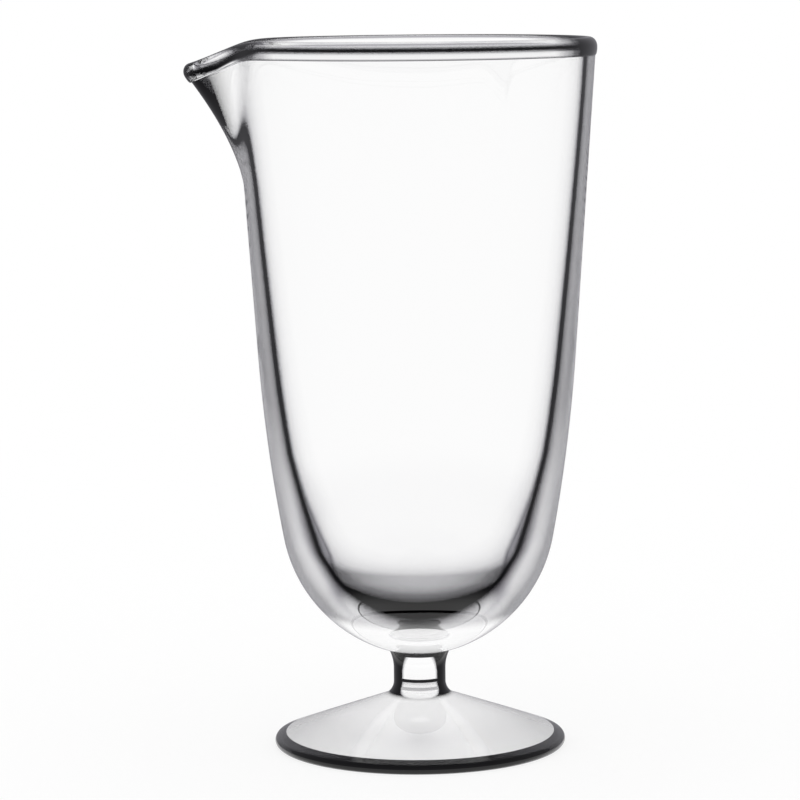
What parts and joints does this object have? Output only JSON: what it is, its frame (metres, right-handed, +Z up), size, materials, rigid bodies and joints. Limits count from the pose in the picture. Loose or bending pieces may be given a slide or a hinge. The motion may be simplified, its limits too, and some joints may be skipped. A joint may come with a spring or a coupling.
{
  "type": "cocktail pitcher",
  "caption": "Clear glass cocktail pitcher: a tall thick-based bowl with a rolled lip and a pulled pouring spout, on a short stem and a wide round foot.",
  "frame": {"origin": "centre of the level face that the foot stands on, on the axis of the bowl", "axes": "+Z up along the bowl's axis, -X towards the tip of the spout, the XZ plane is the plane of symmetry"},
  "size_m": [0.1269, 0.112, 0.22],
  "materials": {
    "clear_glass": "fire-polished, clear and colourless"
  },
  "bodies": {
    "root": {"foot": "clear_glass", "stem": "clear_glass", "bowl": "clear_glass", "lip_bead": "clear_glass"}
  },
  "joints": []
}
